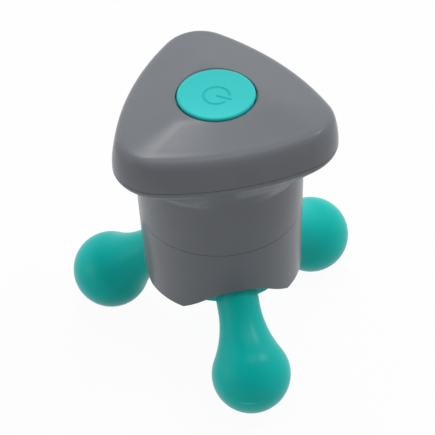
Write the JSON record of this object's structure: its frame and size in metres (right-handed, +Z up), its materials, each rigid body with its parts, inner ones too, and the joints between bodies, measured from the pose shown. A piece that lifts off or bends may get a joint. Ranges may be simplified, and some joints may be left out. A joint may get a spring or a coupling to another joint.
{
  "type": "handheld massager",
  "caption": "Palm-size vibrating massager: a rounded-triangle handle with a round power button on a tapered round body, standing on sloping ball-ended legs.",
  "frame": {"origin": "on the body's axis, in the plane that the three balls stand on", "axes": "+Z up the body's axis towards the button, -Y towards the front leg, +X to the right"},
  "size_m": [0.0924, 0.0897, 0.0964],
  "materials": {
    "shell_grey": "fine satin texture",
    "leg_teal": "smooth satin",
    "button_teal": "smooth satin",
    "frame_plastic": "natural moulded",
    "cell_jacket": "printed film over metal",
    "contact_metal": "nickel plated strip",
    "screw_steel": "zinc plated",
    "board_green": "solder mask",
    "black_plastic": "moulded",
    "can_steel": "drawn and plated",
    "brass_parts": "turned",
    "iron_parts": "sintered",
    "damper_rubber": "matte",
    "lead_cover": "smooth"
  },
  "bodies": {
    "housing": {"top_cover": "shell_grey", "upper_housing": "shell_grey", "battery_frame": "frame_plastic", "frame_screws": "screw_steel", "circuit_board": "board_green", "board_screws": "screw_steel", "board_chips": "black_plastic", "switch_body": "black_plastic", "battery_cell_front": "cell_jacket", "battery_cell_right": "cell_jacket", "battery_cell_left": "cell_jacket", "top_contacts": "contact_metal", "return_strip": "contact_metal", "motor_can": "can_steel", "motor_bushings": "brass_parts", "motor_end_cap": "black_plastic", "motor_brushes": "brass_parts", "motor_magnets": "iron_parts", "motor_damper": "damper_rubber", "motor_plug": "frame_plastic", "motor_leads": "lead_cover"},
    "base": {"lower_housing": "shell_grey", "leg_hub": "leg_teal", "leg_front": "leg_teal", "leg_right": "leg_teal", "leg_left": "leg_teal", "leg_screws": "screw_steel", "hub_screws": "screw_steel", "base_link_contact": "contact_metal", "base_return_contact": "contact_metal"},
    "button": {"power_button": "button_teal"},
    "plunger": {"switch_plunger": "black_plastic"},
    "rotor": {"motor_shaft": "can_steel", "eccentric_weight": "iron_parts", "armature_core": "iron_parts", "armature_windings": "brass_parts", "commutator": "brass_parts"}
  },
  "joints": [
    {"name": "base_twist", "type": "hinge", "parent": "housing", "child": "base", "pos_m": [0, 0, 0.0522], "axis": [0, 0, -1], "range_deg": [0, 25]},
    {"name": "button_press", "type": "slide", "parent": "housing", "child": "button", "axis": [0, 0, -1], "range_m": [0, 0.001], "stiffness_N_per_m": 1500},
    {"name": "plunger_press", "type": "slide", "parent": "housing", "child": "plunger", "axis": [0, 0, -1], "range_m": [0, 0.001]},
    {"name": "rotor_spin", "type": "hinge", "parent": "housing", "child": "rotor", "pos_m": [0, 0, 0.06], "axis": [0, 0, 1], "continuous": true}
  ],
  "couplings": [
    {"joint": "plunger_press", "follows": "button_press", "ratio": 1}
  ]
}
